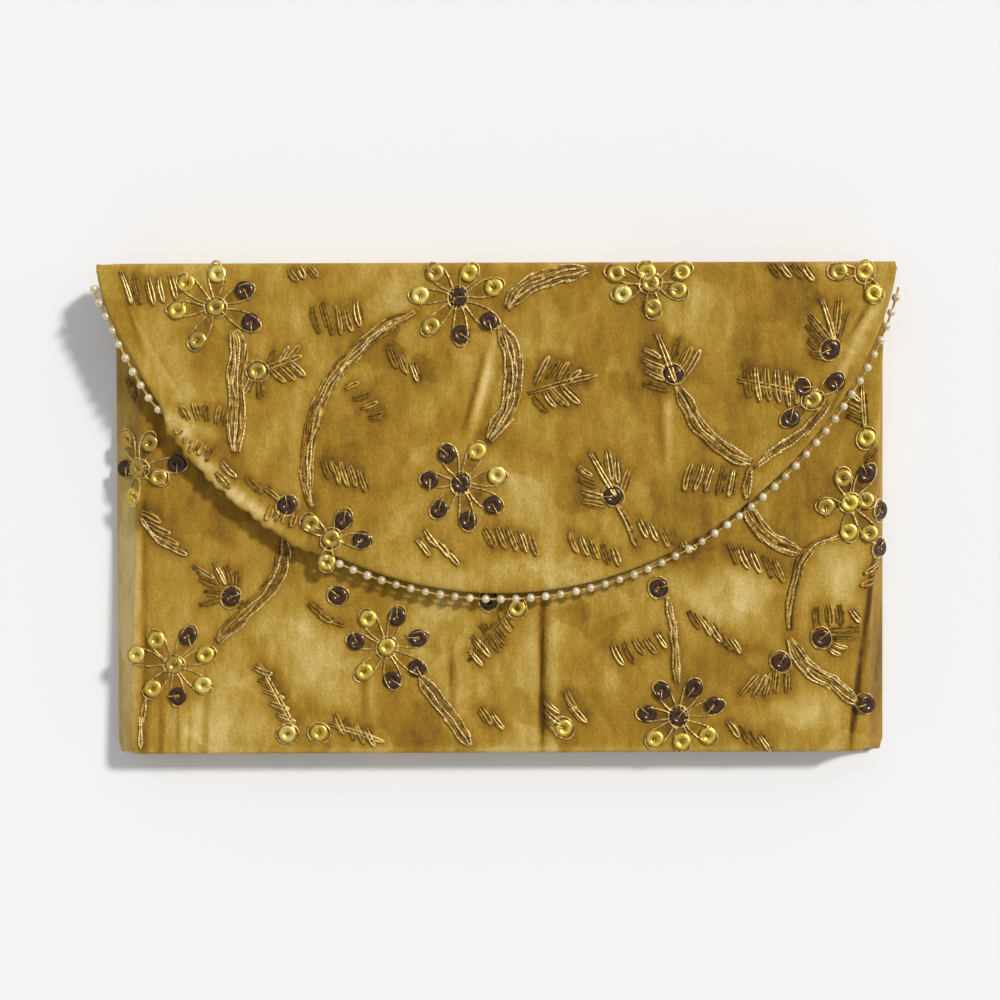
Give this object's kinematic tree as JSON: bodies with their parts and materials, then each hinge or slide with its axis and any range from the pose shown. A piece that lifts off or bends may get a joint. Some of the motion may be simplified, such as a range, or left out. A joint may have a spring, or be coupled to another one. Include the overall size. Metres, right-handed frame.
{
  "type": "clutch bag",
  "caption": "Envelope clutch bag: flat velvet body with a rounded fold-over flap, floral metallic embroidery, pearl edging and a magnetic snap.",
  "frame": {"origin": "centre of the bag's outline at the level of the back panel, on which it lies", "axes": "+X along the mouth, towards the bag's right seen from the front; +Y towards the folded edge that the flap turns on; +Z out of the front"},
  "size_m": [0.257, 0.1601, 0.0221],
  "materials": {
    "velvet": "mottled crushed velvet in mustard gold",
    "board": "grey-brown stiffening board",
    "lining": "satin lining",
    "snap_metal": "thin plated sheet metal",
    "magnet": "dark sintered magnet",
    "pearl": "small lustrous beads on a thread",
    "gold_thread": "metallic thread and sequins"
  },
  "bodies": {
    "bag": {"back_cover": "velvet", "back_board": "board", "front_cover": "velvet", "front_board": "board", "base_strip": "velvet", "left_gusset": "velvet", "right_gusset": "velvet", "pocket_lining": "lining", "socket_base": "snap_metal", "socket_case": "snap_metal", "socket_magnet": "magnet", "socket_washer": "snap_metal", "front_fern_1": "gold_thread", "front_fern_2": "gold_thread", "front_fern_3": "gold_thread", "front_fern_4": "gold_thread", "front_fern_5": "gold_thread", "front_flower_1": "gold_thread", "front_flower_2": "gold_thread", "front_flower_3": "gold_thread", "front_flower_4": "gold_thread", "front_flower_5": "gold_thread", "front_vine_1": "gold_thread", "front_vine_2": "gold_thread", "front_vine_3": "gold_thread", "front_vine_4": "gold_thread", "front_vine_5": "gold_thread", "front_vine_6": "gold_thread"},
    "spine": {"spine_strip": "velvet", "spine_lining": "lining"},
    "flap": {"flap_cover": "velvet", "flap_board": "board", "flap_lining": "lining", "bead_trim": "pearl", "snap_stud": "snap_metal", "stud_washer": "snap_metal", "flap_fern_1": "gold_thread", "flap_fern_2": "gold_thread", "flap_fern_3": "gold_thread", "flap_fern_4": "gold_thread", "flap_fern_5": "gold_thread", "flap_fern_6": "gold_thread", "flap_fern_7": "gold_thread", "flap_fern_8": "gold_thread", "flap_fern_9": "gold_thread", "flap_flower_1": "gold_thread", "flap_flower_2": "gold_thread", "flap_flower_3": "gold_thread", "flap_flower_4": "gold_thread", "flap_flower_5": "gold_thread", "flap_flower_6": "gold_thread", "flap_flower_7": "gold_thread", "flap_vine_1": "gold_thread", "flap_vine_2": "gold_thread", "flap_vine_3": "gold_thread", "flap_vine_4": "gold_thread", "flap_vine_5": "gold_thread", "flap_vine_6": "gold_thread", "flap_vine_7": "gold_thread"}
  },
  "joints": [
    {"name": "spine_fold", "type": "hinge", "parent": "bag", "child": "spine", "pos_m": [0, 0.0795, 0.0026], "axis": [-1, 0, 0], "range_deg": [0, 90]},
    {"name": "flap_fold", "type": "hinge", "parent": "spine", "child": "flap", "pos_m": [0, 0.0795, 0.0195], "axis": [-1, 0, 0], "range_deg": [0, 90]}
  ]
}
